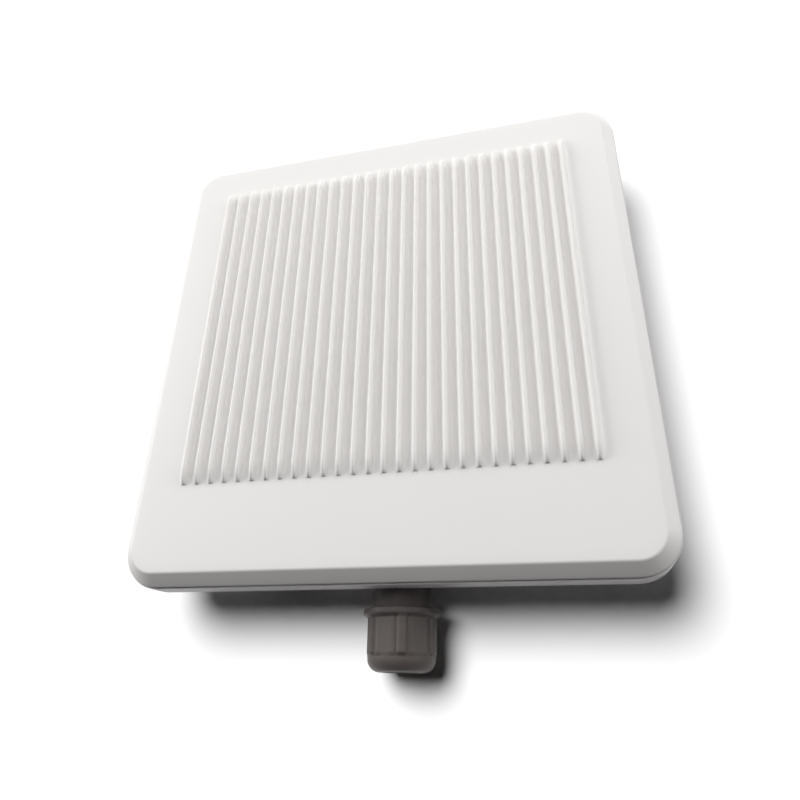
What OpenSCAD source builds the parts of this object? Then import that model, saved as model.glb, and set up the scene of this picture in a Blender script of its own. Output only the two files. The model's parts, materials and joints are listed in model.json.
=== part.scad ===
// Weatherproof wireless access point: a square ribbed front cover on a cast rear
// housing, with one cable gland in its lower edge. The origin is the centre of the
// flat rear face, +Z points out through the ribbed front, and the gland points to -Y.

/* [Front cover] */
// Half the width of the flat front face
face_half = 99.5; // [97:0.5:101]
// How far the bevel spreads outwards from the face
bevel_out = 4.5; // [3:0.5:5]
// How far the bevel drops from the face
bevel_drop = 4.3; // [3.5:0.1:5]
// Radius of the corners of the flat front face
face_corner_r = 10.5; // [9:0.5:13]
// Thickness of the cover's front wall
cover_wall = 2.8; // [2.2:0.1:3.2]

/* [Ribs] */
// Number of ribs across the front face
rib_count = 28; // [10:2:30]
// Distance from one rib to the next
rib_pitch = 6; // [5:0.5:6]
// Height of a rib over the face
rib_height = 2.7; // [1.5:0.1:3.5]
// Width of a rib at its foot
rib_foot_w = 3.6; // [3:0.1:4.4]
// Width of a rib just under its round top
rib_top_w = 2.2; // [1.4:0.1:2.6]
// Lower end of the ribs, on the gland side
rib_low_y = -65.5; // [-80:0.5:-50]
// Upper end of the ribs
rib_high_y = 84; // [60:0.5:88]
// Length over which a rib's end slopes down to the face
rib_ramp = 8; // [5:0.5:12]

/* [Rear housing] */
// Depth from the rear face to the front face
depth = 44; // [42:0.5:48]
// Half the width of the box behind the rim
box_half = 95; // [94:0.5:95]
// Corner radius of the box behind the rim
box_corner_r = 16; // [14:1:18]
// Thickness of the housing's side wall
side_wall = 3.5; // [3:0.1:3.5]
// Thickness of the housing's floor
floor_wall = 4.5; // [4.5:0.1:5]
// Height of the overhanging rim's underside over the rear face
rim_low_z = 28; // [27.8:0.1:28.5]
// How far the housing's rim stands out past the cover
rim_step = 0.6; // [0:0.1:1]
// Depth of the cooling grooves in the rear face
groove_depth = 2.5; // [1:0.1:2.5]

/* [Mounting] */
// Distance between the threaded rear inserts
insert_spacing = 100; // [100:1:104]
// Radius of the thread in an insert
insert_thread_r = 2.1; // [1.6:0.05:2.5]

/* [Cable gland] */
// Sideways offset of the gland from the middle
gland_x = 3.5; // [0:0.5:6]
// Height of the gland's axis over the rear face
gland_z = 15; // [14.9:0.1:15.2]
// Radius of the stem through the wall
stem_r = 10; // [9:0.5:10]
// Radius of the barrel that carries the nut
barrel_r = 11; // [10.5:0.1:11]
// Radius of the nut's flange
nut_flange_r = 14.7; // [14.2:0.1:14.8]
// Radius of the nut over its grips
nut_grip_r = 13.4; // [13:0.1:13.6]
// Length of the nut
nut_len = 21.5; // [21:0.1:23]
// Radius of the cable hole in the seal
cable_r = 3.5; // [2.5:0.1:4]

/* [Hidden] */
$fn = 64;
eps = 0.01;

// Colours
cover_white = "#E9E8E6";
gland_black = "#2B2A2A";
rubber_black = "#1B1B1B";
steel_grey = "#B9BABC";
brass_gold = "#C9A24B";
board_green = "#1F5A3C";
alloy_grey = "#C6C8CA";

// Cover and rim heights
cover_half = face_half + bevel_out;
corner_line = face_half - face_corner_r;
bevel_low_z = depth - bevel_drop;
cover_low_z = bevel_low_z - 1.1;
rim_high_z = cover_low_z - 0.6;
rim_half = cover_half + rim_step;
inner_face_z = depth - cover_wall;
cover_inner_half = cover_half - 2.8;
web_wall = 3;
web_high_z = rim_low_z + web_wall;
skirt_inner_half = rim_half - 3;
lip_half = cover_half - 1.2;

// Box behind the rim
box_line = box_half - box_corner_r;
box_top_z = 34.5;
box_inner_half = box_half - side_wall;
gasket_high_z = box_top_z + 2.2;
screw_line = 97.8;
cover_screw_at = [
    for (along = [-70, 70], side = [-1, 1]) [along, side * screw_line],
    for (along = [-70, 70], side = [-1, 1]) [side * screw_line, along]
];
insert_at = [for (x = [-1, 1], y = [-1, 1]) [x, y] * insert_spacing / 2];

// Gland, measured outwards from the wall
wall_y = -box_half;
washer_len = 1.5;
hex_len = 4.7;
nut_start = 15.7;
barrel_end = 29.2;
stem_back = 15;
locknut_across = 24;
locknut_len = 5;

// Board
board_z = 8;
board_thick = 1.6;
board_top_z = board_z + board_thick;
board_size = [150, 140];
board_y = 2;
board_screw_at = [for (x = [-68, 68], y = [-60, 2, 64]) [x, y]];
reset_at = [62, -30];

// Antennas
reflector_z = 25;
reflector_thick = 1;
patch_z = 33;
post_at = [for (x = [-82, 82], y = [-60, 60]) [x, y]];
patches_2g = [[-42, -20], [42, -20]];
patches_5g = [[-42, 46], [42, 46]];
patch_2g_w = 50;
patch_5g_w = 26;

// ---------- shared shapes ----------

// Flat square with round corners
module rounded_square(half, r) {
    square([2 * half, 2 * (half - r)], center = true);
    square([2 * (half - r), 2 * half], center = true);
    for (x = [-1, 1], y = [-1, 1])
        translate([x, y] * (half - r)) circle(r);
}

// Upright plate whose corners turn about the lines at +-line
module plate(half, line, z0, z1) {
    translate([0, 0, z0])
        linear_extrude(z1 - z0) rounded_square(half, half - line);
}

// Plate with sloping sides and conical corners
module sloped_plate(half0, half1, line, z0, z1) {
    side = [[-half0, z0], [half0, z0], [half1, z1], [-half1, z1]];
    for (turn = [0, 90])
        rotate([0, 0, turn]) rotate([90, 0, 0])
            linear_extrude(2 * line, center = true) polygon(side);
    for (x = [-1, 1], y = [-1, 1])
        translate([x * line, y * line, z0])
            cylinder(h = z1 - z0, r1 = half0 - line, r2 = half1 - line);
}

module ring(r_out, r_in, z0, z1) {
    translate([0, 0, z0])
        linear_extrude(z1 - z0)
            difference() {
                circle(r_out);
                circle(r_in);
            }
}

module rod(r, z0, z1) {
    translate([0, 0, z0]) cylinder(h = z1 - z0, r = r);
}

// Hexagonal bar, flats up and down once it lies along Y
module hex_bar(across, z0, z1) {
    translate([0, 0, z0])
        cylinder(h = z1 - z0, r = across / sqrt(3), $fn = 6);
}

// Places what is drawn along +Z on the gland's axis, starting at the wall
module on_gland_axis() {
    translate([gland_x, wall_y, gland_z]) rotate([90, 0, 0]) children();
}

// The same for a fitting at another place on the lower wall
module on_lower_wall(x, z) {
    translate([x, wall_y, z]) rotate([90, 0, 0]) children();
}

// Pan-head screw with a cross recess; the head's seat is at z = 0, shank upwards
module pan_screw(shank_r, shank_len, head_r, head_h) {
    difference() {
        union() {
            rod(head_r, -head_h * 0.6, 0);
            translate([0, 0, -head_h])
                cylinder(h = head_h * 0.4, r1 = head_r * 0.72, r2 = head_r);
            rod(shank_r, -eps, shank_len);
        }
        for (turn = [0, 90])
            rotate([0, 0, turn])
                translate([0, 0, -head_h])
                    cube([head_r * 1.1, head_r * 0.28, head_h], center = true);
    }
}

// ---------- casing ----------

// Upright cross-section of one rib, with its foot sunk into the cover wall
module rib_profile() {
    top_r = rib_top_w / 2;
    foot = rib_foot_w / 2;
    shoulder = rib_height - top_r;
    polygon([[-foot, -1], [foot, -1], [foot, 0], [top_r, shoulder], [-top_r, shoulder], [-foot, 0]]);
    translate([0, shoulder]) circle(top_r);
}

// Side outline that all ribs share: level, with a round slope at each end
module rib_side_outline() {
    slope_r = (rib_ramp * rib_ramp + rib_height * rib_height) / (2 * rib_height);
    level_low = rib_low_y + rib_ramp;
    level_high = rib_high_y - rib_ramp;
    translate([level_low, -1]) square([level_high - level_low, rib_height + 1]);
    intersection() {
        translate([rib_low_y, -1]) square([rib_high_y - rib_low_y, rib_height + 1]);
        for (y = [level_low, level_high])
            translate([y, rib_height - slope_r]) circle(slope_r, $fn = 180);
    }
}

module ribs() {
    row = (rib_count - 1) * rib_pitch;
    intersection() {
        for (i = [0 : rib_count - 1])
            translate([i * rib_pitch - row / 2, rib_high_y + 1, depth])
                rotate([90, 0, 0])
                    linear_extrude(rib_high_y - rib_low_y + 2) rib_profile();
        translate([-row / 2 - rib_foot_w, 0, depth])
            rotate([90, 0, 90])
                linear_extrude(row + 2 * rib_foot_w) rib_side_outline();
    }
}

module cover_shell() {
    difference() {
        union() {
            plate(cover_half, corner_line, cover_low_z, bevel_low_z);
            sloped_plate(cover_half, face_half, corner_line, bevel_low_z, depth);
        }
        plate(lip_half + 0.1, corner_line, cover_low_z - 1, bevel_low_z - 0.3);
        plate(cover_inner_half, corner_line, cover_low_z - 1, bevel_low_z);
        sloped_plate(cover_inner_half, cover_inner_half - 1.6, corner_line, bevel_low_z, inner_face_z);
    }
}

// Inner rib of the cover that presses on the gasket
module cover_tongue() {
    difference() {
        plate(box_half - 1, box_line, gasket_high_z, inner_face_z + eps);
        plate(box_inner_half + 1, box_line, gasket_high_z - 1, inner_face_z + 1);
    }
}

module cover_bosses() {
    for (at = cover_screw_at)
        translate(at) rod(2.7, web_high_z, inner_face_z + eps);
}

module front_cover() {
    color(cover_white)
        difference() {
            union() {
                cover_shell();
                cover_tongue();
                cover_bosses();
                ribs();
            }
            for (at = cover_screw_at)
                translate(at) rod(1.5, web_high_z - 1, web_high_z + 7);
        }
}

module cover_gasket() {
    color(rubber_black)
        difference() {
            plate(box_half - 0.8, box_line, box_top_z, gasket_high_z);
            plate(box_inner_half + 0.3, box_line, box_top_z - 1, gasket_high_z + 1);
        }
}

module housing_outside() {
    sloped_plate(box_half - 2, box_half, box_line, 0, 2);
    plate(box_half, box_line, 2, box_top_z);
    sloped_plate(rim_half - 1, rim_half, corner_line, rim_low_z, rim_low_z + 1);
    plate(rim_half, corner_line, rim_low_z + 1, rim_high_z);
    plate(lip_half, corner_line, rim_high_z - 1, rim_high_z + 1.2);
}

// Channel round the box, between its wall and the rim's skirt
module rim_channel() {
    difference() {
        plate(skirt_inner_half, corner_line, web_high_z, rim_high_z + 2);
        plate(box_half, box_line, web_high_z - 1, box_top_z);
    }
}

module cooling_grooves() {
    groove_pitch = 6;
    groove_r = 1.5;
    for (i = [-6 : 5])
        translate([(i + 0.5) * groove_pitch, 0, -1])
            linear_extrude(groove_depth + 1) {
                square([2 * groove_r, 130], center = true);
                for (y = [-65, 65]) translate([0, y]) circle(groove_r);
            }
}

module housing_bosses() {
    for (at = board_screw_at) translate(at) rod(3.5, floor_wall - eps, board_z);
    for (at = insert_at) translate(at) rod(6.5, floor_wall - eps, 7.4);
    for (at = post_at) translate(at) rod(4, floor_wall - eps, 7);
    translate([-18, -26, floor_wall - eps]) cube([36, 36, 6.8 - floor_wall + eps]);
    on_lower_wall(60, 14) rod(5, -9, -side_wall + eps);
}

// Room for the gland's locknut next to the lower wall, upwards from z0
module locknut_room(z0, height) {
    translate([gland_x - 15, wall_y + side_wall, z0])
        cube([30, locknut_len + 1, height]);
}

module housing_holes() {
    for (at = insert_at) translate(at) rod(3.5, -1, 6.5);
    for (at = board_screw_at) translate(at) rod(1.25, 2.8, board_z + 1);
    for (at = cover_screw_at) translate(at) rod(1.7, rim_low_z - 1, web_high_z + 1);
    for (at = post_at) translate(at) rod(1.5, 2.8, 8);
    translate(reset_at) {
        rod(3.05, -1, floor_wall + 1);
        rod(5.2, -1, 2.2);
    }
    on_gland_axis() rod(stem_r + 0.1, -side_wall - 1, 1);
    on_lower_wall(-45, 14) rod(6.05, -side_wall - 1, 1);
    on_lower_wall(60, 14) rod(2, -8, 1);
    locknut_room(gland_z - locknut_across / 2 - 0.3, 7);
}

module rear_housing() {
    color(cover_white)
        difference() {
            union() {
                difference() {
                    housing_outside();
                    plate(box_inner_half, box_line, floor_wall, box_top_z + 5);
                    rim_channel();
                }
                housing_bosses();
            }
            cooling_grooves();
            housing_holes();
        }
}

module cover_screws() {
    color(steel_grey)
        for (at = cover_screw_at)
            translate([at.x, at.y, rim_low_z]) pan_screw(1.48, 9, 2.8, 2.2);
}

module mounting_inserts() {
    color(brass_gold)
        for (at = insert_at)
            translate(at) ring(3.5, insert_thread_r, 0, 6.5);
}

// ---------- cable gland ----------

module gland_body() {
    hex_high = washer_len + hex_len;
    color(gland_black) on_gland_axis()
        difference() {
            union() {
                rod(stem_r, -stem_back, washer_len + eps);
                hex_bar(25, washer_len, hex_high);
                rod(barrel_r, hex_high - eps, barrel_end);
            }
            rod(7, -stem_back - 1, barrel_end + 1);
            rod(8.6, 17, barrel_end + 1);
        }
}

module gland_washer() {
    color(rubber_black) on_gland_axis() ring(12.4, stem_r + 0.05, 0, washer_len);
}

module gland_locknut() {
    color(gland_black) on_gland_axis()
        difference() {
            hex_bar(locknut_across, -side_wall - locknut_len, -side_wall);
            rod(stem_r + 0.05, -side_wall - 6, 0);
        }
}

// Cage round the seal: a sleeve in the barrel and fingers under the nut's cone
module gland_claw() {
    finger_len = 3.6;
    color("#3A3A3A") on_gland_axis()
        difference() {
            union() {
                rod(8.3, 18, barrel_end + eps);
                rod(10.4, barrel_end, barrel_end + 1.4);
                translate([0, 0, barrel_end + 1.4])
                    cylinder(h = finger_len, r1 = 10.2, r2 = 7.1);
            }
            rod(6.55, 17, barrel_end + 8);
            for (turn = [0 : 60 : 120])
                rotate([0, 0, turn])
                    translate([0, 0, barrel_end + 1.6 + finger_len / 2])
                        cube([30, 1.2, finger_len], center = true);
        }
}

module gland_seal() {
    color(rubber_black) on_gland_axis() ring(6.5, cable_r, 19, 32);
}

module nut_outline() {
    dome_r = 4.6;
    dome_start = nut_len - dome_r;
    dome_body_r = nut_grip_r - 0.5;
    square([nut_flange_r, 2.6]);
    polygon([[0, 2.6], [nut_flange_r, 2.6], [nut_grip_r - 0.2, 4.8], [0, 4.8]]);
    translate([0, 4]) square([nut_grip_r, dome_start - 4]);
    translate([0, 4]) square([dome_body_r - dome_r, nut_len - 4]);
    intersection() {
        translate([dome_body_r - dome_r, dome_start]) circle(dome_r);
        translate([0, dome_start - 1]) square(nut_grip_r * 2);
    }
}

module nut_bore() {
    bore_r = barrel_r + 0.06;
    mouth_r = 6.75;
    cone_start = 15.2;
    cone_end = 19.4;
    rod(bore_r, -1, cone_start);
    translate([0, 0, cone_start - eps])
        cylinder(h = cone_end - cone_start + eps, r1 = bore_r, r2 = mouth_r);
    rod(mouth_r, cone_end - eps, nut_len + 1);
}

// Flat finger grips between six raised bars, as on a moulded gland nut
module grip_flats() {
    flat_at = 12;
    flat_w = 9.6;
    flat_len = 11;
    for (i = [0 : 5])
        rotate([0, 0, i * 60 + 50])
            translate([flat_at, -flat_w / 2, 5.2])
                cube([5, flat_w, flat_len]);
}

module gland_nut() {
    color(gland_black) on_gland_axis()
        translate([0, 0, nut_start])
            difference() {
                rotate_extrude() nut_outline();
                nut_bore();
                grip_flats();
            }
}

// ---------- fittings on the lower wall and the rear ----------

module vent_plug() {
    color(gland_black) on_lower_wall(-45, 14)
        difference() {
            union() {
                rod(6, -side_wall - 3, eps);
                rod(8.5, 0, 3.4);
                translate([0, 0, 3.4]) cylinder(h = 1.4, r1 = 8.5, r2 = 7.1);
            }
            rod(4, -side_wall - 4, 2.4);
            for (turn = [0 : 45 : 135])
                rotate([0, 0, turn])
                    translate([0, 0, 1.4]) cube([18, 1.6, 1.2], center = true);
        }
}

module vent_membrane() {
    color("#EDEDED") on_lower_wall(-45, 14) rod(3.95, 0.3, 0.7);
}

module earth_washer() {
    color(steel_grey) on_lower_wall(60, 14) ring(4.8, 2.1, 0, 1);
}

module earth_screw() {
    color(steel_grey) on_lower_wall(60, 14)
        translate([0, 0, 1]) mirror([0, 0, 1]) pan_screw(1.98, 7.5, 3.9, 3);
}

module reset_port_seal() {
    color(rubber_black) translate(reset_at) ring(5, 3.1, 1.7, 2.2);
}

module reset_port_screw() {
    color(steel_grey) translate(reset_at)
        difference() {
            union() {
                rod(4.9, 0.3, 1.7);
                rod(3, 1.7 - eps, 4.2);
            }
            translate([0, 0, 0.3]) cube([7, 1, 1.2], center = true);
        }
}

// ---------- electronics ----------

// Box standing on the board, centred at a place
module on_board(at, size) {
    translate([at.x - size.x / 2, at.y - size.y / 2, board_top_z]) cube(size);
}

module main_board() {
    color(board_green)
        difference() {
            translate([0, board_y, board_z])
                linear_extrude(board_thick)
                    square(board_size, center = true);
            for (at = board_screw_at) translate(at) rod(1.6, board_z - 1, board_top_z + 1);
        }
}

module board_screws() {
    color(steel_grey)
        for (at = board_screw_at)
            translate([at.x, at.y, board_top_z])
                mirror([0, 0, 1]) pan_screw(1.23, 6.4, 2.6, 1.8);
}

module thermal_pad() {
    color("#8FA3B5") translate([-17, -25, 6.8]) cube([34, 34, board_z - 6.8]);
}

// Thin-walled metal can over a group of chips, with vent holes in its lid
module shield_can(at, size) {
    wall = 0.3;
    color(steel_grey)
        difference() {
            on_board(at, size);
            on_board(at, [size.x - 2 * wall, size.y - 2 * wall, size.z - wall]);
            for (i = [-2 : 2], j = [-1 : 1])
                translate([at.x + i * size.x / 6, at.y + j * size.y / 4]) rod(1, board_top_z + 1, 20);
        }
}

module processor_shield() {
    shield_can([0, -8], [40, 38, 3.2]);
}

module shield_can_2g() {
    shield_can([-44, 36], [44, 32, 3]);
}

module shield_can_5g() {
    shield_can([44, 36], [44, 32, 3]);
}

module memory_chips() {
    color("#222426")
        for (x = [-8, 8]) on_board([x, 26], [11, 9, 1]);
}

module ethernet_jack() {
    size = [16.2, 21.5, 13.2];
    at = [gland_x, -57];
    color(alloy_grey)
        difference() {
            on_board(at, size);
            translate([at.x - 5.9, at.y - size.y / 2 - 1, board_top_z + 2.2]) cube([11.8, 15, 8]);
            translate([at.x - 3.1, at.y - size.y / 2 - 1, board_top_z + 1]) cube([6.2, 15, 2]);
        }
}

module jack_contacts() {
    color(brass_gold)
        for (i = [0 : 7])
            translate([gland_x + (i - 3.5) * 1.02 - 0.2, -65, board_top_z + 8.9]) cube([0.4, 11, 0.5]);
}

module network_transformer() {
    color("#1F1F22")
        for (x = [-26, -44]) on_board([x, -46], [15, 17, 6]);
}

module power_transformer() {
    color("#33302B") {
        on_board([36, -48], [20, 18, 3]);
        translate([36, -48, 0]) rod(8, board_top_z + 3 - eps, board_top_z + 9);
        translate([26, -53, board_top_z + 9 - eps]) cube([20, 10, 2.5]);
    }
}

module power_capacitors() {
    color("#3C4A63")
        for (y = [-56, -44, -32])
            translate([-62, y, 0]) rod(4.5, board_top_z, board_top_z + 12);
}

module coax_sockets() {
    color(brass_gold)
        for (at = lead_foot) translate(at) ring(1.6, 0.9, board_top_z, board_top_z + 1.2);
}

module reset_switch() {
    color("#2A2C30")
        difference() {
            translate([reset_at.x - 3, reset_at.y - 3, 5.8]) cube([6, 6, board_z - 5.8]);
            translate(reset_at) rod(1.66, 5, 7.3);
        }
}

module reset_plunger() {
    color("#D9D4C8") translate(reset_at) rod(1.6, 4.9, 6.6);
}

// ---------- antennas ----------

module antenna_posts() {
    color(brass_gold)
        for (at = post_at)
            translate(at) {
                rod(1.48, 3, 7 + eps);
                hex_bar(6, 7, reflector_z);
            }
}

module antenna_reflector() {
    color(alloy_grey)
        difference() {
            translate([0, 0, reflector_z])
                linear_extrude(reflector_thick) rounded_square(88, 6);
            for (at = lead_head) translate(at) rod(2.5, reflector_z - 1, reflector_z + 2);
            locknut_room(reflector_z - 1, 3);
        }
}

// Four short plastic studs under each antenna plate
module spacer_group(at, w) {
    for (x = [-1, 1], y = [-1, 1])
        translate([at.x + x * (w / 2 - 5), at.y + y * (w / 2 - 5)])
            rod(2, reflector_z + reflector_thick, patch_z);
}

module antenna_spacers() {
    color("#E4E0D6") {
        for (at = patches_2g) spacer_group(at, patch_2g_w);
        for (at = patches_5g) spacer_group(at, patch_5g_w);
    }
}

// Square antenna plate with two clipped corners, which turn its polarisation
module patch(at, w) {
    clip = w * 0.16;
    half = w / 2;
    color(brass_gold)
        translate([at.x, at.y, patch_z])
            linear_extrude(0.8)
                polygon([
                    [-half + clip, -half], [half, -half], [half, half - clip],
                    [half - clip, half], [-half, half], [-half, -half + clip]
                ]);
}

module patch_2g_left() {
    patch(patches_2g[0], patch_2g_w);
}

module patch_2g_right() {
    patch(patches_2g[1], patch_2g_w);
}

module patch_5g_left() {
    patch(patches_5g[0], patch_5g_w);
}

module patch_5g_right() {
    patch(patches_5g[1], patch_5g_w);
}

// Thin coaxial lead: down from its antenna, across, and down to its socket
lead_head = [[-42, -12], [42, -12], [-42, 50], [42, 50]];
lead_foot = [[-28, 6], [28, 6], [-16, 44], [16, 44]];
lead_r = 0.8;
lead_level_z = 18;

module rod_between(a, b) {
    run = b - a;
    len = norm(run);
    translate(a)
        rotate([0, acos(run.z / len), atan2(run.y, run.x)]) cylinder(h = len, r = lead_r);
}

module antenna_lead(head, foot) {
    corner_high = [head.x, head.y, lead_level_z];
    corner_low = [foot.x, foot.y, lead_level_z];
    rod_between([head.x, head.y, patch_z], corner_high);
    rod_between(corner_high, corner_low);
    rod_between(corner_low, [foot.x, foot.y, board_top_z]);
    for (corner = [corner_high, corner_low]) translate(corner) sphere(lead_r * 1.3);
}

module antenna_leads() {
    color("#2C2C2E")
        for (i = [0 : 3]) antenna_lead(lead_head[i], lead_foot[i]);
}

front_cover();
cover_gasket();
rear_housing();
cover_screws();
mounting_inserts();
gland_body();
gland_washer();
gland_locknut();
gland_claw();
gland_seal();
gland_nut();
vent_plug();
vent_membrane();
earth_screw();
earth_washer();
reset_port_screw();
reset_port_seal();
main_board();
board_screws();
thermal_pad();
processor_shield();
shield_can_2g();
shield_can_5g();
memory_chips();
ethernet_jack();
jack_contacts();
network_transformer();
power_transformer();
power_capacitors();
coax_sockets();
reset_switch();
reset_plunger();
antenna_posts();
antenna_reflector();
antenna_spacers();
patch_2g_left();
patch_2g_right();
patch_5g_left();
patch_5g_right();
antenna_leads();
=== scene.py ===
import json
import math

import bmesh
import bpy
from mathutils import Matrix, Vector


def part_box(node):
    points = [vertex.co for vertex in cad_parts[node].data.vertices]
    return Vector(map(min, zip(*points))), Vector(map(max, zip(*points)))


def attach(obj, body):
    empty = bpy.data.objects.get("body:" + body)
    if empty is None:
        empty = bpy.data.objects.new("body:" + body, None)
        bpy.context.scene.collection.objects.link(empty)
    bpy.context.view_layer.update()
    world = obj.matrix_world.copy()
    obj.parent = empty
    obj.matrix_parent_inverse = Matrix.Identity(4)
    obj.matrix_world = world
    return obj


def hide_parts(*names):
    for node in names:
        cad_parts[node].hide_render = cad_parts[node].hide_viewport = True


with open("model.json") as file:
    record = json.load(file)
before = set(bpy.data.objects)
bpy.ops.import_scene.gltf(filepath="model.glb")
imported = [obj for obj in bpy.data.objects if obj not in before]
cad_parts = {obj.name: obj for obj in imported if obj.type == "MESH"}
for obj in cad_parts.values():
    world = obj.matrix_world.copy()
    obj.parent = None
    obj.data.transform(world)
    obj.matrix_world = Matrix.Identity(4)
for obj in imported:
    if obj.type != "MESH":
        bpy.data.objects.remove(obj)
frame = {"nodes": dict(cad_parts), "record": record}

bl_info = {
    "name": "Weatherproof access point",
    "version": (1, 0, 0),
    "blender": (4, 5, 0),
    "location": "3D View > Sidebar > Access point",
    "description": "Dresses the packed access point: ribbed cover, cable gland, finishes and studio",
    "category": "Object",
}

MM = 0.001
RIB_MARGIN = 2 * MM  # flat strip kept round the field of ribs
RIB_TIP_SHARE = 0.45  # width of a rib's end, as a share of the rib's own
FLOOR_SEEN = 0.95
FLOOR_HALF = 2.5
FLOOR_Z = -0.2 * MM
# name, place, side and power of each lamp that lights the object and not the floor
OBJECT_SOFTBOXES = (
    ("top_softbox", (0.0, 0.48, 1.0), 1.2, 8.4),
    ("left_softbox", (-1.0, 0.3, 0.47), 0.6, 11),
    ("right_softbox", (1.0, 0.4, 0.47), 0.8, 8.4),
    ("far_softbox", (0.1, 1.15, 0.55), 0.7, 3.6),
)
FLOOR_SUN_PLACE = (-0.38, 0.50, 1.45)
FLOOR_SUN_ANGLE = math.radians(34)
FLOOR_SUN_STRENGTH = 3.9
LAMP_AIM = (0, 0, 0.03)
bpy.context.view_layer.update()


# ---------- sizes and colours a user would change ----------

class CoverSizes(bpy.types.PropertyGroup):
    """Sizes of the moulded front cover."""
    rib_count: bpy.props.IntProperty(
        name="Ribs", description="Number of ribs across the face", default=28, min=2)
    rib_pitch: bpy.props.FloatProperty(
        name="Rib pitch", description="Distance from one rib to the next",
        default=6 * MM, subtype="DISTANCE", unit="LENGTH")
    rib_height: bpy.props.FloatProperty(
        name="Rib height", description="Height of a rib over the face",
        default=2.7 * MM, subtype="DISTANCE", unit="LENGTH")
    rib_crest: bpy.props.FloatProperty(
        name="Rib crest radius", description="Radius of a rib's round top",
        default=0.95 * MM, subtype="DISTANCE", unit="LENGTH")
    rib_foot: bpy.props.FloatProperty(
        name="Rib foot fillet", description="Radius of the fillet where a rib meets the face",
        default=1.3 * MM, subtype="DISTANCE", unit="LENGTH")
    rib_draft: bpy.props.FloatProperty(
        name="Rib draft", description="Slope of a rib's flanks from the upright",
        default=math.radians(20), subtype="ANGLE", unit="ROTATION")
    rib_ramp: bpy.props.FloatProperty(
        name="Rib ramp", description="Length over which a rib's end comes down to the face",
        default=8 * MM, subtype="DISTANCE", unit="LENGTH")
    rib_low: bpy.props.FloatProperty(
        name="Lower rib end", description="Place of the ribs' ends on the gland side",
        default=-65.5 * MM, subtype="DISTANCE", unit="LENGTH")
    rib_high: bpy.props.FloatProperty(
        name="Upper rib end", description="Place of the ribs' ends on the far side",
        default=84 * MM, subtype="DISTANCE", unit="LENGTH")
    face_fillet: bpy.props.FloatProperty(
        name="Face fillet", description="Radius between the flat face and the bevel",
        default=1.6 * MM, subtype="DISTANCE", unit="LENGTH")
    rim_fillet: bpy.props.FloatProperty(
        name="Rim fillet", description="Radius between the bevel and the skirt",
        default=0.8 * MM, subtype="DISTANCE", unit="LENGTH")


class NutSizes(bpy.types.PropertyGroup):
    """Sizes of the gland's domed nut."""
    flange: bpy.props.FloatProperty(
        name="Flange radius", description="Radius of the collar at the nut's open end",
        default=14.7 * MM, subtype="DISTANCE", unit="LENGTH")
    bar: bpy.props.FloatProperty(
        name="Bar radius", description="Radius over the raised finger bars",
        default=13.9 * MM, subtype="DISTANCE", unit="LENGTH")
    grip: bpy.props.FloatProperty(
        name="Grip radius", description="Radius of the nut between a bar and a flat",
        default=13.2 * MM, subtype="DISTANCE", unit="LENGTH")
    flat: bpy.props.FloatProperty(
        name="Flat distance", description="Distance from the axis to a flat between two bars",
        default=12.85 * MM, subtype="DISTANCE", unit="LENGTH")
    dome: bpy.props.FloatProperty(
        name="Dome radius", description="Radius of the nut where its dome starts",
        default=12.7 * MM, subtype="DISTANCE", unit="LENGTH")
    round: bpy.props.FloatProperty(
        name="Dome rounding", description="Radius of the dome's rounded shoulder",
        default=4.6 * MM, subtype="DISTANCE", unit="LENGTH")
    turn: bpy.props.FloatProperty(
        name="Bar direction", description="Direction of the first bar, from +X towards +Z",
        default=math.radians(75.5), subtype="ANGLE", unit="ROTATION")


class FinishColours(bpy.types.PropertyGroup):
    """Colours of the finishes that show from outside."""
    cover: bpy.props.StringProperty(
        name="Cover white", description="Colour of the moulded cover", default="#DDDBD9")
    coat: bpy.props.StringProperty(
        name="Housing white", description="Colour of the powder coat", default="#D3D0D1")
    nylon: bpy.props.StringProperty(
        name="Gland black", description="Colour of the gland's nylon", default="#504A48")
    rubber: bpy.props.StringProperty(
        name="Rubber black", description="Colour of the seals", default="#171717")


class StudioSettings(bpy.types.PropertyGroup):
    """Where the camera stands and how the studio is lit."""
    camera_place: bpy.props.FloatVectorProperty(
        name="Camera place", description="Where the camera stands",
        default=(69.7 * MM, -138.8 * MM, 273.2 * MM), subtype="TRANSLATION", unit="LENGTH")
    camera_direction: bpy.props.FloatVectorProperty(
        name="Camera direction", description="The way the camera looks",
        default=(-0.2305, 0.4518, -0.8618), subtype="DIRECTION")
    camera_roll: bpy.props.FloatProperty(
        name="Camera roll", description="Turn of the camera about its own axis",
        default=math.radians(-29.5), subtype="ANGLE", unit="ROTATION")
    lens: bpy.props.FloatProperty(
        name="Lens", description="Focal length on a sensor 36 mm wide",
        default=29.59, unit="CAMERA")
    shift_y: bpy.props.FloatProperty(
        name="Shift", description="Upward shift of the lens, as a part of the frame's width",
        default=-0.05)
    near_light: bpy.props.FloatProperty(
        name="Near room light", description="Strength of the room's light from the gland side",
        default=0.0)
    far_light: bpy.props.FloatProperty(
        name="Far room light", description="Strength of the room's light from the far side",
        default=0.015)


class AccessPoint(bpy.types.PropertyGroup):
    """All settings of the access point."""
    cover: bpy.props.PointerProperty(type=CoverSizes)
    nut: bpy.props.PointerProperty(type=NutSizes)
    finish: bpy.props.PointerProperty(type=FinishColours)
    studio: bpy.props.PointerProperty(type=StudioSettings)


# ---------- materials ----------

def linear(hex_colour):
    """sRGB hex to the linear colour that shaders take."""
    channels = [int(hex_colour[i:i + 2], 16) / 255 for i in (1, 3, 5)]
    values = [c / 12.92 if c <= 0.04045 else ((c + 0.055) / 1.055) ** 2.4 for c in channels]
    return (*values, 1)


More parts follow.
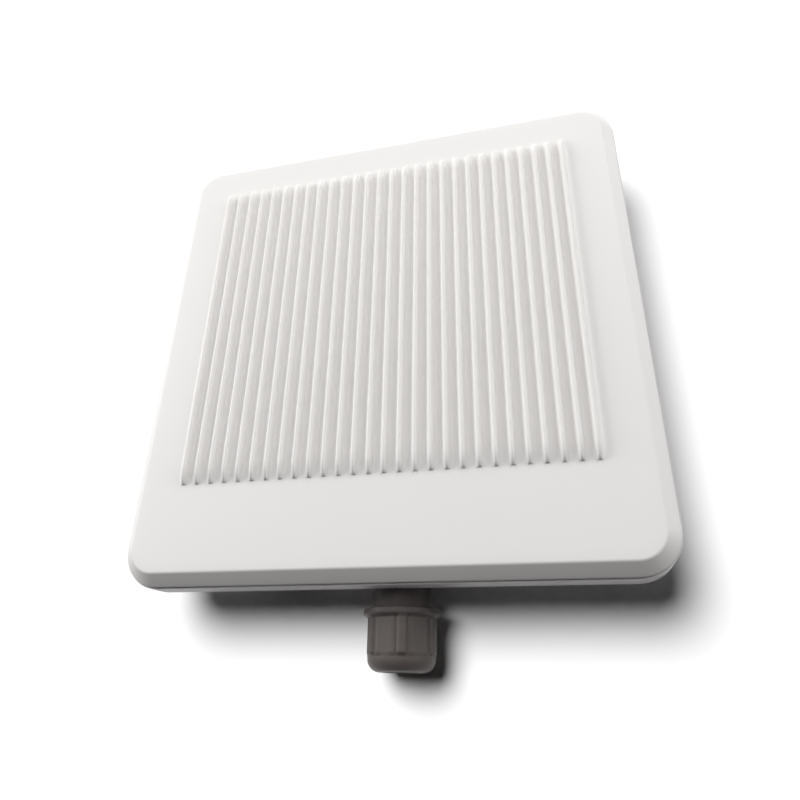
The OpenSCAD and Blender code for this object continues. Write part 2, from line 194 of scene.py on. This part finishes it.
def add_node(tree, kind, settings=None, links=None):
    """Adds one node; settings go to its sockets or attributes, links join its sockets to others."""
    node = tree.nodes.new(kind)
    for name, value in (settings or {}).items():
        if name in node.inputs:
            node.inputs[name].default_value = value
        else:
            setattr(node, name, value)
    for name, source in (links or {}).items():
        tree.links.new(source, node.inputs[name])
    return node


def new_material(name):
    """A material with its Principled shader, and the object's own coordinates."""
    material = bpy.data.materials.new(name)
    material.use_nodes = True
    tree = material.node_tree
    shader = tree.nodes["Principled BSDF"]
    coords = add_node(tree, "ShaderNodeTexCoord").outputs["Object"]
    return material, tree, shader, coords


def grain_scale(size_mm):
    """Scale of a noise texture whose grains are about this size."""
    return 1 / (size_mm * MM)


def mottled(tree, coords, hex_a, hex_b, size_mm):
    """A colour that drifts softly between two tones over patches of the given size."""
    noise = add_node(tree, "ShaderNodeTexNoise",
                     {"Scale": grain_scale(size_mm), "Detail": 2.0}, {"Vector": coords})
    mix = add_node(tree, "ShaderNodeMix", {"data_type": "RGBA"}, {"Factor": noise.outputs["Fac"]})
    mix.inputs["A"].default_value = linear(hex_a)
    mix.inputs["B"].default_value = linear(hex_b)
    return mix.outputs["Result"]


def bumped(tree, shader, height, strength, depth_mm):
    """Lets a height pattern tilt the surface by up to depth_mm."""
    bump = add_node(tree, "ShaderNodeBump", {"Strength": strength, "Distance": depth_mm * MM},
                    {"Height": height})
    tree.links.new(bump.outputs["Normal"], shader.inputs["Normal"])


def varied(tree, coords, low, high, size_mm):
    """A roughness that drifts between two values over patches of the given size."""
    noise = add_node(tree, "ShaderNodeTexNoise", {"Scale": grain_scale(size_mm), "Detail": 3.0},
                     {"Vector": coords})
    spread = add_node(tree, "ShaderNodeMapRange", {"To Min": low, "To Max": high},
                      {"Value": noise.outputs["Fac"]})
    return spread.outputs["Result"]


def spark_eroded_asa(hex_colour):
    """White ASA from a spark-eroded mould: a dry, even white whose grain softens every highlight.
    The real grain is finer than a pixel, so it is drawn at 0.45 mm, where it just shows."""
    material, tree, shader, coords = new_material("spark_eroded_asa")
    tree.links.new(mottled(tree, coords, hex_colour, "#DFDDDB", 35), shader.inputs["Base Color"])
    shader.inputs["IOR"].default_value = 1.5
    shader.inputs["Specular IOR Level"].default_value = 0.35
    tree.links.new(varied(tree, coords, 0.48, 0.56, 12), shader.inputs["Roughness"])
    grain = add_node(tree, "ShaderNodeTexNoise",
                     {"Scale": grain_scale(0.45), "Detail": 3.0, "Roughness": 0.6},
                     {"Vector": coords})
    bumped(tree, shader, grain.outputs["Fac"], 0.15, 0.012)
    return material


def white_powder_coat(hex_colour):
    """Polyester powder coat on a casting: the same white, with a slight orange peel in the sheen."""
    material, tree, shader, coords = new_material("white_powder_coat")
    tree.links.new(mottled(tree, coords, hex_colour, "#D6D3D4", 30), shader.inputs["Base Color"])
    tree.links.new(varied(tree, coords, 0.36, 0.46, 6), shader.inputs["Roughness"])
    peel = add_node(tree, "ShaderNodeTexNoise", {"Scale": grain_scale(1.6), "Detail": 1.0},
                    {"Vector": coords})
    bumped(tree, shader, peel.outputs["Fac"], 0.3, 0.06)
    return material


def black_nylon(hex_colour):
    """Moulded black nylon: a warm dark grey with a satin, slightly cloudy sheen.
    Its fine grain is drawn at 0.5 mm, coarse enough to show."""
    material, tree, shader, coords = new_material("black_nylon")
    tree.links.new(mottled(tree, coords, hex_colour, "#5C5653", 5), shader.inputs["Base Color"])
    shader.inputs["Specular IOR Level"].default_value = 0.2
    tree.links.new(varied(tree, coords, 0.34, 0.5, 3), shader.inputs["Roughness"])
    grain = add_node(tree, "ShaderNodeTexNoise", {"Scale": grain_scale(0.5), "Detail": 2.0},
                     {"Vector": coords})
    bumped(tree, shader, grain.outputs["Fac"], 0.35, 0.04)
    return material


def seal_rubber(hex_colour):
    """EPDM rubber: nearly black and matt, with a faint bloom on its surface."""
    material, tree, shader, coords = new_material("seal_rubber")
    tree.links.new(mottled(tree, coords, hex_colour, "#222222", 2), shader.inputs["Base Color"])
    tree.links.new(varied(tree, coords, 0.72, 0.9, 2), shader.inputs["Roughness"])
    grain = add_node(tree, "ShaderNodeTexNoise", {"Scale": grain_scale(0.3)}, {"Vector": coords})
    bumped(tree, shader, grain.outputs["Fac"], 0.4, 0.04)
    return material


def worked_metal(name, hex_a, hex_b, low, high, grain_mm, stretch=(1, 1, 1)):
    """A bare or plated metal whose tone and polish vary with the marks of its making."""
    material, tree, shader, coords = new_material(name)
    mapping = add_node(tree, "ShaderNodeMapping", {"Scale": stretch}, {"Vector": coords})
    drawn = mapping.outputs["Vector"]
    tree.links.new(mottled(tree, drawn, hex_a, hex_b, grain_mm * 3), shader.inputs["Base Color"])
    shader.inputs["Metallic"].default_value = 1.0
    tree.links.new(varied(tree, drawn, low, high, grain_mm), shader.inputs["Roughness"])
    marks = add_node(tree, "ShaderNodeTexNoise", {"Scale": grain_scale(grain_mm), "Detail": 2.0},
                     {"Vector": drawn})
    bumped(tree, shader, marks.outputs["Fac"], 0.2, 0.02)
    return material


def zinc_plate():
    """Zinc-plated screw steel: a bluish grey with a soft, slightly uneven shine."""
    return worked_metal("zinc_plate", "#B9BCC0", "#A3A7AC", 0.28, 0.42, 0.6)


def tinned_sheet():
    """Tin-plated steel sheet: pale and bright, drawn in one direction by the rolls."""
    return worked_metal("tinned_sheet", "#CDCDCB", "#BFC0C0", 0.22, 0.34, 0.4, (1, 0.08, 1))


def turned_brass():
    """Turned brass: yellow, with the fine rings of the lathe."""
    return worked_metal("turned_brass", "#C9A35C", "#B88F48", 0.25, 0.36, 0.3, (1, 1, 4))


def rolled_aluminium():
    """Mill-finish aluminium sheet: a light grey with long rolling marks."""
    return worked_metal("rolled_aluminium", "#C9CACB", "#BCBEC0", 0.3, 0.42, 0.5, (0.05, 1, 1))


def antenna_copper():
    """Copper antenna plate under a thin protective film: pinkish and softly bright."""
    return worked_metal("antenna_copper", "#C98E62", "#B87B52", 0.3, 0.4, 0.5)


def circuit_laminate():
    """Glass-epoxy board under green solder mask, with a raster of traces just raised in it."""
    material, tree, shader, coords = new_material("circuit_laminate")
    traces = add_node(tree, "ShaderNodeTexBrick",
                      {"Scale": grain_scale(6), "Mortar Size": 0.04, "Color1": linear("#1E5B3B"),
                       "Color2": linear("#1A5034"), "Mortar": linear("#2F7A52")},
                      {"Vector": coords})
    tree.links.new(traces.outputs["Color"], shader.inputs["Base Color"])
    shader.inputs["Roughness"].default_value = 0.32
    bumped(tree, shader, traces.outputs["Fac"], 0.4, 0.05)
    return material


def plain_moulding(name, hex_a, hex_b, low, high, grain_mm):
    """A small moulded part: an even colour under a fine, dry grain."""
    material, tree, shader, coords = new_material(name)
    tree.links.new(mottled(tree, coords, hex_a, hex_b, grain_mm * 4), shader.inputs["Base Color"])
    tree.links.new(varied(tree, coords, low, high, grain_mm * 2), shader.inputs["Roughness"])
    grain = add_node(tree, "ShaderNodeTexNoise", {"Scale": grain_scale(grain_mm)},
                     {"Vector": coords})
    bumped(tree, shader, grain.outputs["Fac"], 0.3, 0.03)
    return material


def finishes(colours):
    """Every finish of the object, by the record's material slot."""
    return {
        "cover_plastic": spark_eroded_asa(colours.cover),
        "cast_white": white_powder_coat(colours.coat),
        "gland_nylon": black_nylon(colours.nylon),
        "black_rubber": seal_rubber(colours.rubber),
        "zinc_steel": zinc_plate(),
        "tinned_sheet": tinned_sheet(),
        "brass": turned_brass(),
        "copper_patch": antenna_copper(),
        "board_laminate": circuit_laminate(),
        "chip_plastic": plain_moulding("chip_epoxy", "#232427", "#2B2C2F", 0.5, 0.62, 0.3),
        "capacitor_sleeve": plain_moulding("shrink_sleeve", "#2C3A55", "#34425E",
                                           0.25, 0.34, 0.8),
        "alloy_sheet": rolled_aluminium(),
        "natural_nylon": plain_moulding("natural_nylon", "#E3DFD3", "#D9D4C6", 0.4, 0.5, 0.4),
        "thermal_silicone": plain_moulding("thermal_silicone", "#8194A6", "#8E9FB0",
                                           0.7, 0.85, 0.3),
        "vent_film": plain_moulding("vent_film", "#EFEFEC", "#E6E6E2", 0.7, 0.8, 0.2),
        "lead_jacket": plain_moulding("lead_jacket", "#2A2A2C", "#323234", 0.4, 0.5, 0.3),
    }


# ---------- mesh helpers ----------

def finish_piece(name, bm, material, body, node, smooth_angle=35):
    """Turns a bmesh into a piece that rides on a body and stands for a CAD node."""
    bmesh.ops.remove_doubles(bm, verts=bm.verts, dist=1e-6)
    bmesh.ops.recalc_face_normals(bm, faces=bm.faces)
    mesh = bpy.data.meshes.new(name)
    bm.to_mesh(mesh)
    bm.free()
    mesh.shade_smooth()
    mesh.set_sharp_from_angle(angle=math.radians(smooth_angle))
    mesh.materials.append(material)
    piece = bpy.data.objects.new(name, mesh)
    bpy.context.scene.collection.objects.link(piece)
    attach(piece, body)
    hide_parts(node)
    return piece


def open_profile(bm, points):
    """A row of joined points in the plane of x and z, at y = 0."""
    verts = [bm.verts.new((x, 0, z)) for x, z in points]
    return [bm.edges.new(pair) for pair in zip(verts, verts[1:])]


def arc(centre, radius, start, end, steps):
    """Points of an arc in x and z, its angles counted from +X towards +Z, in degrees."""
    angles = [math.radians(start + (end - start) * i / steps) for i in range(steps + 1)]
    return [(centre[0] + radius * math.cos(a), centre[1] + radius * math.sin(a)) for a in angles]


def filleted(points, radii, steps=5):
    """The outline through these points with each inner corner rounded by its own radius."""
    outline = [points[0]]
    for i in range(1, len(points) - 1):
        here, before, after = Vector(points[i]), Vector(points[i - 1]), Vector(points[i + 1])
        radius = radii[i - 1]
        if radius == 0:
            outline.append(tuple(here))
            continue
        to_before, to_after = (before - here).normalized(), (after - here).normalized()
        half = to_before.angle(to_after) / 2
        reach = radius / math.tan(half)
        start, end = here + to_before * reach, here + to_after * reach
        centre = here + (to_before + to_after).normalized() * (radius / math.sin(half))
        swing = (start - centre).angle_signed(end - centre)
        for k in range(steps + 1):
            spoke = start - centre
            spoke.rotate(Matrix.Rotation(-swing * k / steps, 2))
            outline.append(tuple(centre + spoke))
    outline.append(points[-1])
    return outline


def sweep_round_square(bm, section, corner_line, corner_steps=24):
    """Sweeps a section round a square path with round corners. Section x is counted
    outwards from the lines at +-corner_line, on which the corners turn."""
    edges = open_profile(bm, section)
    verts = {v for e in edges for v in e.verts}
    bmesh.ops.translate(bm, verts=list(verts), vec=(corner_line, -corner_line, 0))
    for quarter in range(4):
        along = Matrix.Rotation(math.radians(90 * quarter), 3, "Z")
        run = bmesh.ops.extrude_edge_only(bm, edges=edges)["geom"]
        moved = [g for g in run if isinstance(g, bmesh.types.BMVert)]
        edges = [g for g in run if isinstance(g, bmesh.types.BMEdge)]
        bmesh.ops.translate(bm, verts=moved, vec=along @ Vector((0, 2 * corner_line, 0)))
        turned = bmesh.ops.spin(
            bm, geom=moved + edges, cent=along @ Vector((corner_line, corner_line, 0)),
            axis=(0, 0, 1), dvec=(0, 0, 0), angle=math.radians(90), steps=corner_steps,
            use_merge=False, use_duplicate=False)["geom_last"]
        edges = [g for g in turned if isinstance(g, bmesh.types.BMEdge)]
    bmesh.ops.remove_doubles(bm, verts=bm.verts, dist=1e-6)


def boundary_at(bm, z):
    """The open edges of the mesh that lie at one height."""
    return [e for e in bm.edges if e.is_boundary and all(abs(v.co.z - z) < 1e-6 for v in e.verts)]


# ---------- front cover ----------

def rib_half_section(cover):
    """One side of a rib as (x, z) from its crest to the middle of the valley."""
    crest, foot, draft = cover.rib_crest, cover.rib_foot, cover.rib_draft
    slope = math.degrees(draft)
    crest_centre = (0, cover.rib_height - crest)
    flank_top = crest_centre[1] + crest * math.sin(draft)
    flank_low = foot * (1 - math.sin(draft))
    foot_x = (crest + foot) * math.cos(draft) + (flank_top - flank_low) * math.tan(draft)
    crest_arc = arc(crest_centre, crest, 90, slope, 6)
    foot_arc = arc((foot_x, foot), foot, 180 + slope, 270, 4)
    return crest_arc + foot_arc + [(cover.rib_pitch / 2, 0)]


def rib_row_section(cover):
    """The whole row of ribs as (middle of its rib, x from that middle, z)."""
    half = rib_half_section(cover)
    one = [(-x, z) for x, z in reversed(half[1:])] + half
    first = -(cover.rib_count - 1) * cover.rib_pitch / 2
    row = []
    for i in range(cover.rib_count):
        middle = first + i * cover.rib_pitch
        row += [(middle, x, z) for x, z in (one if i == 0 else one[1:])]
    return row


def rib_rows(cover):
    """(y, part of the full height) along the ribs, close together where the ends come down."""
    steps = 12
    slope = [1 - math.cos(math.radians(90 * k / steps)) for k in range(steps + 1)]
    low = [(cover.rib_low + s * cover.rib_ramp, math.sqrt(1 - (1 - s) ** 2)) for s in slope]
    high = [(cover.rib_high - s * cover.rib_ramp, math.sqrt(1 - (1 - s) ** 2)) for s in slope]
    length = cover.rib_high - cover.rib_low
    middle = [(cover.rib_low + length * k / 8, 1.0) for k in range(1, 8)]
    return ([(cover.rib_low - RIB_MARGIN, 0.0)] + low + middle + high[::-1]
            + [(cover.rib_high + RIB_MARGIN, 0.0)])


def add_rib_field(bm, cover, face_z):
    """The ribbed rectangle of the face: one section drawn along Y and shaped row by row."""
    section = rib_row_section(cover)
    edge_x = section[-1][0] + section[-1][1] + RIB_MARGIN
    section = [(-edge_x, 0, 0)] + section + [(edge_x, 0, 0)]
    edges = open_profile(bm, [(middle + x, z) for middle, x, z in section])
    rail = [edges[0].verts[0]] + [e.verts[1] for e in edges]
    for row, (y, part) in enumerate(rib_rows(cover)):
        if row:
            grown = bmesh.ops.extrude_edge_only(bm, edges=edges)["geom"]
            edges = [g for g in grown if isinstance(g, bmesh.types.BMEdge)]
            rail = sorted({v for e in edges for v in e.verts}, key=lambda v: v.co.x)
        narrow = RIB_TIP_SHARE + (1 - RIB_TIP_SHARE) * part
        for vert, (middle, x, z) in zip(rail, section):
            inside = abs(x) < cover.rib_pitch / 2 - 1e-9
            vert.co = (middle + (x * narrow if inside else x), y, face_z + z * part)


def ribbed_cover(cover, material):
    """The moulded front cover: a bevelled shell with a field of ribs in its face."""
    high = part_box("front_cover")[1]
    face_z = high.z - cover.rib_height
    corner_line = 89 * MM
    reach = high.x - corner_line
    bevel_out, bevel_drop, skirt = 4.5 * MM, 4.3 * MM, 1.1 * MM
    wall, lip, lip_deep = 2.8 * MM, 1.1 * MM, 0.8 * MM
    bevel_z = face_z - bevel_drop
    bottom_z = bevel_z - skirt
    inner = reach - wall
    face_x = reach - bevel_out
    section = filleted(
        [(face_x - 4 * MM, face_z), (face_x, face_z), (reach, bevel_z),
         (reach, bottom_z), (reach - lip, bottom_z), (reach - lip, bottom_z + lip_deep),
         (inner, bottom_z + lip_deep), (inner, bevel_z), (inner - 1.6 * MM, face_z - wall),
         (face_x - 4 * MM, face_z - wall)],
        [cover.face_fillet, cover.rim_fillet, 0.25 * MM, 0.15 * MM, 0, 0, 0.3 * MM, 0.3 * MM])
    bm = bmesh.new()
    sweep_round_square(bm, section, corner_line)
    add_rib_field(bm, cover, face_z)
    bmesh.ops.triangle_fill(bm, use_beauty=True, use_dissolve=False, edges=boundary_at(bm, face_z))
    bmesh.ops.contextual_create(bm, geom=boundary_at(bm, face_z - wall))
    return finish_piece("ribbed_cover", bm, material, "root", "front_cover")


# ---------- gland nut ----------

def smooth_step(x, low, high):
    """0 below low, 1 above high and an even S between them."""
    part = min(max((x - low) / (high - low), 0), 1)
    return part * part * (3 - 2 * part)


def nut_radius(nut, angle, z):
    """Outer radius of the nut at one angle from a bar's middle and one height over its open end."""
    off_bar = abs((angle + math.pi / 6) % (math.pi / 3) - math.pi / 6)
    flat = min(nut.flat / math.cos(math.pi / 6 - off_bar), nut.grip)
    groove = 0.35 * MM * (smooth_step(off_bar, math.radians(7), math.radians(9))
                          - smooth_step(off_bar, math.radians(10), math.radians(12.5)))
    bar = (nut.bar - nut.grip) * (1 - smooth_step(off_bar, math.radians(5.5), math.radians(8.5)))
    start = smooth_step(z, 2.2 * MM, 3.2 * MM)
    bar_end = 1 - smooth_step(z, 15.2 * MM, 16.2 * MM)
    flat_end = 1 - smooth_step(z, 15 * MM, 16.6 * MM)
    grip = nut.dome + (flat - groove * start - nut.dome) * flat_end + bar * bar_end
    collar = 1 - smooth_step(z, 1.8 * MM, 3.4 * MM)
    return grip + (nut.flange - grip) * collar


def nut_section(nut, length):
    """The nut's section as (radius, height, True where the grips shape it), from bore to mouth."""
    heights = [0.25, 1, 1.7] + [1.9 + 0.2 * i for i in range(10)] + [5, 7, 9, 11, 13]
    heights += [14.4 + 0.25 * i for i in range(10)]
    bore, mouth = 11.06 * MM, 6.75 * MM
    inside = [(mouth, length - 0.4 * MM, False), (mouth, 19.4 * MM, False),
              (bore, 15.2 * MM, False), (bore, 0.4 * MM, False), (bore + 0.4 * MM, 0, False),
              (nut.flange - 0.5 * MM, 0, False), (nut.flange - 0.25 * MM, 0.08 * MM, False)]
    grips = [(nut.flange, z * MM, True) for z in heights]
    dome = [(r, z, False) for r, z in
            arc((nut.dome - nut.round, length - nut.round), nut.round, 0, 90, 12)]
    return inside + grips + dome + [(mouth + 0.4 * MM, length, False)]


def domed_nut(nut, material):
    """The gland's cap nut: a collar, six raised finger bars with flats between, and a dome."""
    low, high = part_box("gland_nut")
    section = nut_section(nut, high.y - low.y)
    bm = bmesh.new()
    edges = open_profile(bm, [(r, z) for r, z, _ in section])
    edges.append(bm.edges.new((edges[-1].verts[1], edges[0].verts[0])))
    verts = {v for e in edges for v in e.verts}
    bmesh.ops.spin(bm, geom=list(verts) + edges, cent=(0, 0, 0), axis=(0, 0, 1), dvec=(0, 0, 0),
                   angle=math.tau, steps=216, use_merge=True, use_duplicate=False)
    shaped = {round(z / MM, 3) for _, z, grips in section if grips}
    for vert in bm.verts:
        radius = math.hypot(vert.co.x, vert.co.y)
        if radius > nut.dome and round(vert.co.z / MM, 3) in shaped:
            scale = nut_radius(nut, math.atan2(vert.co.y, vert.co.x), vert.co.z) / radius
            vert.co.x *= scale
            vert.co.y *= scale
    onto_axis = Matrix.Rotation(math.radians(90), 4, "X") @ Matrix.Rotation(nut.turn, 4, "Z")
    place = Matrix.Translation(((low.x + high.x) / 2, high.y, (low.z + high.z) / 2))
    bmesh.ops.transform(bm, matrix=place @ onto_axis, verts=bm.verts)
    return finish_piece("domed_nut", bm, material, "gland_nut", "gland_nut", 50)


# ---------- CAD nodes that stay, with softened edges ----------

def soften(node, width_mm, segments=3):
    """Rounds a CAD node's edges with live modifiers and leaves its mesh as it is."""
    piece = frame["nodes"][node]
    piece.modifiers.new("weld", "WELD").merge_threshold = 1e-6
    flat = piece.modifiers.new("flat_faces", "DECIMATE")
    flat.decimate_type = "DISSOLVE"
    flat.angle_limit = math.radians(1)
    bevel = piece.modifiers.new("soft_edges", "BEVEL")
    bevel.width = width_mm * MM
    bevel.segments = segments
    bevel.limit_method = "ANGLE"
    bevel.angle_limit = math.radians(35)
    bevel.harden_normals = True


def repaint(materials):
    """Gives every CAD node the finish of its slot."""
    for part in frame["record"]["subparts"]:
        for slot in frame["nodes"][part["node"]].material_slots:
            slot.material = materials[part["material_slot"]]


# ---------- studio ----------

def seen_directly(tree):
    """1 for what the camera sees, or sees in gloss or through glass, and 0 for light on its way."""
    path = add_node(tree, "ShaderNodeLightPath")
    gloss = add_node(tree, "ShaderNodeMath", {"operation": "MAXIMUM"})
    tree.links.new(path.outputs["Is Camera Ray"], gloss.inputs[0])
    tree.links.new(path.outputs["Is Glossy Ray"], gloss.inputs[1])
    glass = add_node(tree, "ShaderNodeMath", {"operation": "MAXIMUM"})
    tree.links.new(gloss.outputs[0], glass.inputs[0])
    tree.links.new(path.outputs["Is Transmission Ray"], glass.inputs[1])
    return glass.outputs[0]


def seen_or_lit(tree, output, seen, lit):
    """Joins the shader that is seen and the one that spreads light to the tree's output."""
    pick = add_node(tree, "ShaderNodeMixShader", None, {"Fac": seen_directly(tree)})
    tree.links.new(lit.outputs[0], pick.inputs[1])
    tree.links.new(seen.outputs[0], pick.inputs[2])
    tree.links.new(pick.outputs[0], output.inputs["Surface"])


def room(studio):
    """The room: plain white where it is seen, but its light comes mostly from the far side."""
    world = bpy.data.worlds.new("studio_room")
    bpy.context.scene.world = world
    world.use_nodes = True
    tree = world.node_tree
    tree.nodes.clear()
    way = add_node(tree, "ShaderNodeTexCoord").outputs["Generated"]
    axes = add_node(tree, "ShaderNodeSeparateXYZ", None, {"Vector": way})
    fade = add_node(tree, "ShaderNodeMapRange",
                    {"interpolation_type": "SMOOTHSTEP", "From Min": -0.3, "From Max": 0.8,
                     "To Min": studio.near_light, "To Max": studio.far_light},
                    {"Value": axes.outputs["Y"]})
    lit = add_node(tree, "ShaderNodeBackground", None, {"Strength": fade.outputs["Result"]})
    seen = add_node(tree, "ShaderNodeBackground", {"Color": linear("#FFFFFF"), "Strength": 1.0})
    seen_or_lit(tree, add_node(tree, "ShaderNodeOutputWorld"), seen, lit)


def floor():
    """A wide white floor at the rear face's level, which keeps the object's shadow."""
    bm = bmesh.new()
    bmesh.ops.create_grid(bm, x_segments=1, y_segments=1, size=FLOOR_HALF)
    mesh = bpy.data.meshes.new("floor")
    bm.to_mesh(mesh)
    bm.free()
    material = bpy.data.materials.new("floor_paper")
    material.use_nodes = True
    tree = material.node_tree
    tree.nodes.clear()
    lit = add_node(tree, "ShaderNodeBsdfDiffuse", {"Color": linear("#9A9A9A")})
    seen = add_node(tree, "ShaderNodeBsdfDiffuse",
                    {"Color": (FLOOR_SEEN, FLOOR_SEEN, FLOOR_SEEN, 1)})
    seen_or_lit(tree, add_node(tree, "ShaderNodeOutputMaterial"), seen, lit)
    mesh.materials.append(material)
    plane = bpy.data.objects.new("floor", mesh)
    plane.location.z = FLOOR_Z
    bpy.context.scene.collection.objects.link(plane)
    return plane


def floor_share(name, plane, state):
    """A light-linking collection that lets a lamp reach only the floor, or all but the floor."""
    share = bpy.data.collections.new(name)
    share.objects.link(plane)
    share.collection_objects[0].light_linking.link_state = state
    return share


def aimed_lamp(name, kind, place, share):
    """A lamp that looks at the object from a place and reaches what its share allows."""
    lamp = bpy.data.lights.new(name, kind)
    holder = bpy.data.objects.new(name, lamp)
    holder.location = place
    aim = Vector(LAMP_AIM) - Vector(place)
    holder.rotation_euler = aim.to_track_quat("-Z", "Y").to_euler()
    holder.light_linking.receiver_collection = share
    bpy.context.scene.collection.objects.link(holder)
    return lamp


def lights(plane):
    """Softboxes for the object, and one wide sun that whitens the floor and throws the shadow."""
    only_floor = floor_share("floor_only", plane, "INCLUDE")
    sun = aimed_lamp("floor_sun", "SUN", FLOOR_SUN_PLACE, only_floor)
    sun.angle = FLOOR_SUN_ANGLE
    sun.energy = FLOOR_SUN_STRENGTH
    all_but_floor = floor_share("all_but_floor", plane, "EXCLUDE")
    for name, place, size, energy in OBJECT_SOFTBOXES:
        box = aimed_lamp(name, "AREA", place, all_but_floor)
        box.shape = "SQUARE"
        box.size = size
        box.energy = energy


def camera(studio):
    """The camera, aimed along its direction and rolled about it."""
    lens = bpy.data.cameras.new("camera")
    lens.sensor_width = 36
    lens.lens = studio.lens
    lens.shift_y = studio.shift_y
    lens.clip_start = 0.01
    holder = bpy.data.objects.new("camera", lens)
    aim = Vector(studio.camera_direction).to_track_quat("-Z", "Y").to_matrix()
    roll = Matrix.Rotation(studio.camera_roll, 3, "Z")
    holder.matrix_world = Matrix.Translation(studio.camera_place) @ (aim @ roll).to_4x4()
    bpy.context.scene.collection.objects.link(holder)
    bpy.context.scene.camera = holder


# ---------- operators ----------

class ACCESSPOINT_OT_finishes(bpy.types.Operator):
    """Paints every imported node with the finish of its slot"""
    bl_idname = "access_point.finishes"
    bl_label = "Finishes"

    def execute(self, context):
        repaint(finishes(context.scene.access_point.finish))
        return {"FINISHED"}


class ACCESSPOINT_OT_cover(bpy.types.Operator):
    """Models the ribbed front cover"""
    bl_idname = "access_point.cover"
    bl_label = "Ribbed cover"

    def execute(self, context):
        ribbed_cover(context.scene.access_point.cover, bpy.data.materials["spark_eroded_asa"])
        return {"FINISHED"}


class ACCESSPOINT_OT_nut(bpy.types.Operator):
    """Models the gland's domed nut"""
    bl_idname = "access_point.nut"
    bl_label = "Domed nut"

    def execute(self, context):
        domed_nut(context.scene.access_point.nut, bpy.data.materials["black_nylon"])
        return {"FINISHED"}


class ACCESSPOINT_OT_soft_edges(bpy.types.Operator):
    """Rounds the edges of the housing, the gland and the fittings"""
    bl_idname = "access_point.soft_edges"
    bl_label = "Soft edges"

    def execute(self, context):
        soften("rear_housing", 0.4)
        for node in ("gland_body", "vent_plug"):
            soften(node, 0.25)
        for node in ("gland_locknut", "gland_washer", "cover_screws", "earth_screw",
                     "earth_washer"):
            soften(node, 0.15, 2)
        return {"FINISHED"}


class ACCESSPOINT_OT_studio(bpy.types.Operator):
    """Sets up the floor, the light and the camera"""
    bl_idname = "access_point.studio"
    bl_label = "Studio"

    def execute(self, context):
        studio = context.scene.access_point.studio
        context.scene.view_settings.view_transform = "Standard"
        camera(studio)
        plane = floor()
        room(studio)
        lights(plane)
        return {"FINISHED"}


class ACCESSPOINT_PT_panel(bpy.types.Panel):
    """Lists the access point's steps"""
    bl_idname = "ACCESSPOINT_PT_panel"
    bl_label = "Access point"
    bl_space_type = "VIEW_3D"
    bl_region_type = "UI"
    bl_category = "Access point"

    def draw(self, context):
        for step in STEPS:
            self.layout.operator(step.bl_idname)


STEPS = (ACCESSPOINT_OT_studio, ACCESSPOINT_OT_finishes, ACCESSPOINT_OT_cover, ACCESSPOINT_OT_nut,
         ACCESSPOINT_OT_soft_edges)
CLASSES = (CoverSizes, NutSizes, FinishColours, StudioSettings, AccessPoint, *STEPS,
           ACCESSPOINT_PT_panel)


def register():
    for cls in CLASSES:
        bpy.utils.register_class(cls)
    bpy.types.Scene.access_point = bpy.props.PointerProperty(type=AccessPoint)


def unregister():
    del bpy.types.Scene.access_point
    for cls in reversed(CLASSES):
        bpy.utils.unregister_class(cls)


def main():
    register()
    bpy.ops.access_point.studio()
    bpy.ops.access_point.finishes()
    bpy.ops.access_point.cover()
    bpy.ops.access_point.nut()
    bpy.ops.access_point.soft_edges()


if __name__ == "__main__":
    main()
